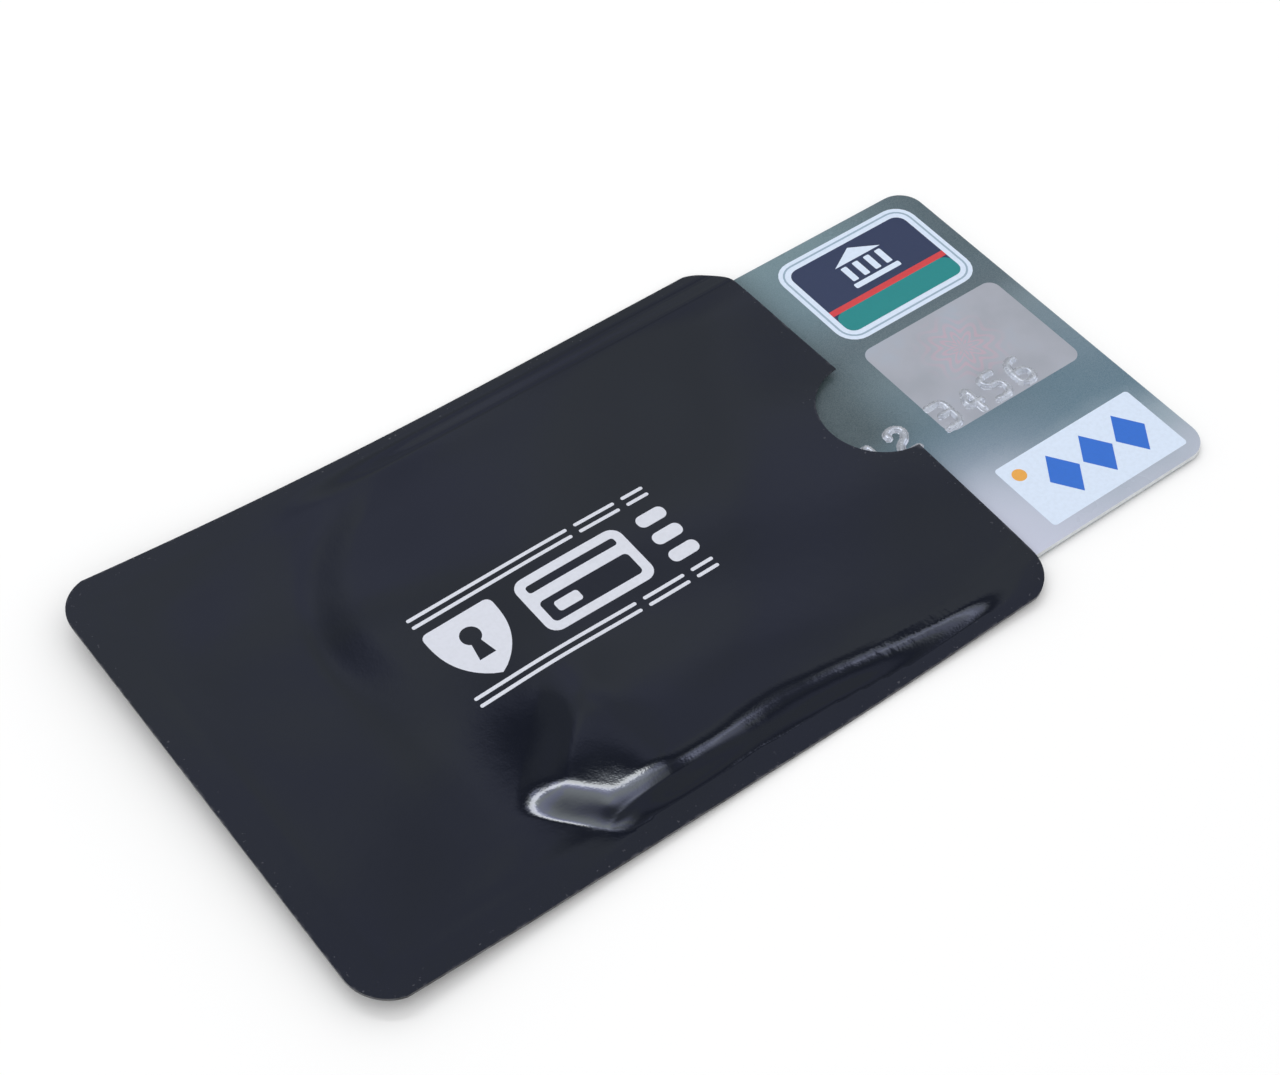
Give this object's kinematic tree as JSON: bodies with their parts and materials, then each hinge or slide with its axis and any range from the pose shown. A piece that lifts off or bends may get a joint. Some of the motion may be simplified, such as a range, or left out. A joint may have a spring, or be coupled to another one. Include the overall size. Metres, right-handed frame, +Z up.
{
  "type": "shielding card sleeve",
  "caption": "Flat heat-sealed pouch of metallised film, open at one short end with a thumb notch, with a payment card that slides in and out.",
  "frame": {"origin": "centre of the sleeve's underside", "axes": "+X out of the sleeve's mouth, along the card's travel; +Z up, out of the front panel; +Y completes the right-handed frame, towards the card's top edge"},
  "size_m": [0.1189, 0.063, 0.0035],
  "materials": {
    "sleeve_film": "high-gloss navy-black polyester film",
    "shield_foil": "bright rolled foil",
    "seal_film": "satin heat-seal film over the foil",
    "card_laminate": "semi-gloss laminate over a teal-grey print",
    "card_core": "white core sheet",
    "card_inlay": "translucent white inlay sheet",
    "antenna_metal": "etched aluminium",
    "contact_gold": "gold-plated contacts",
    "chip_epoxy": "glass-epoxy carrier",
    "chip_resin": "black encapsulant",
    "hologram_foil": "hot-stamped diffractive foil",
    "stripe_oxide": "satin magnetic oxide",
    "writing_panel": "matt writable coating"
  },
  "bodies": {
    "sleeve": {"front_film": "sleeve_film", "front_foil": "shield_foil", "front_seal_film": "seal_film", "back_film": "sleeve_film", "back_foil": "shield_foil", "back_seal_film": "seal_film"},
    "card": {"card_front_overlay": "card_laminate", "card_front_core": "card_core", "card_inlay": "card_inlay", "antenna_coil": "antenna_metal", "card_back_core": "card_core", "card_back_overlay": "card_laminate", "chip_contacts": "contact_gold", "chip_carrier": "chip_epoxy", "chip_encapsulant": "chip_resin", "hologram_patch": "hologram_foil", "magnetic_stripe": "stripe_oxide", "signature_panel": "writing_panel"}
  },
  "joints": [
    {"name": "card_slide", "type": "slide", "parent": "sleeve", "child": "card", "axis": [1, 0, 0], "range_m": [-0.0281, 0.0627]}
  ]
}
